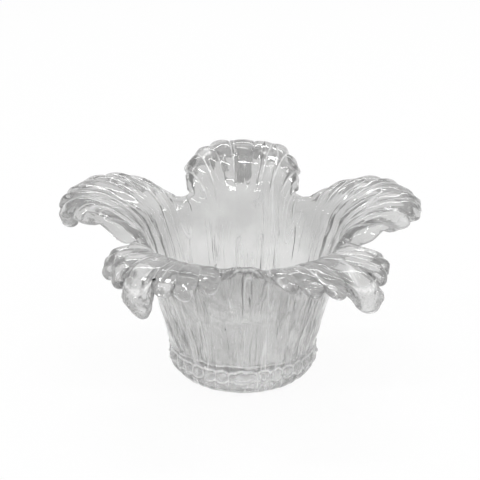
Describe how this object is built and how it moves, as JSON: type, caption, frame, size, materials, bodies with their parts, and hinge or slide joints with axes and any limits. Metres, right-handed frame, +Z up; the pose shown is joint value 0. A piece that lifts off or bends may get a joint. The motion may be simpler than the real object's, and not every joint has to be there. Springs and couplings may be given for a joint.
{
  "type": "candle holder",
  "caption": "Clear pressed-glass candle holder: a fluted cup on a thick paneled foot, with broad scalloped leaves that flare from the rim, arch over and end in hanging tongues.",
  "frame": {"origin": "centre of the foot's flat underside, where the holder stands", "axes": "+Z up through the middle of the cup; -Y is the front, where the notch between the front leaves faces the viewer; +X is the viewer's right"},
  "size_m": [0.1677, 0.1606, 0.0868],
  "materials": {
    "clear_glass": "clear, fire-polished, faintly wavy"
  },
  "bodies": {
    "root": {"foot": "clear_glass", "cup": "clear_glass", "leaf_back": "clear_glass", "leaf_left": "clear_glass", "leaf_front_left": "clear_glass", "leaf_front_right": "clear_glass", "leaf_right": "clear_glass"}
  },
  "joints": []
}
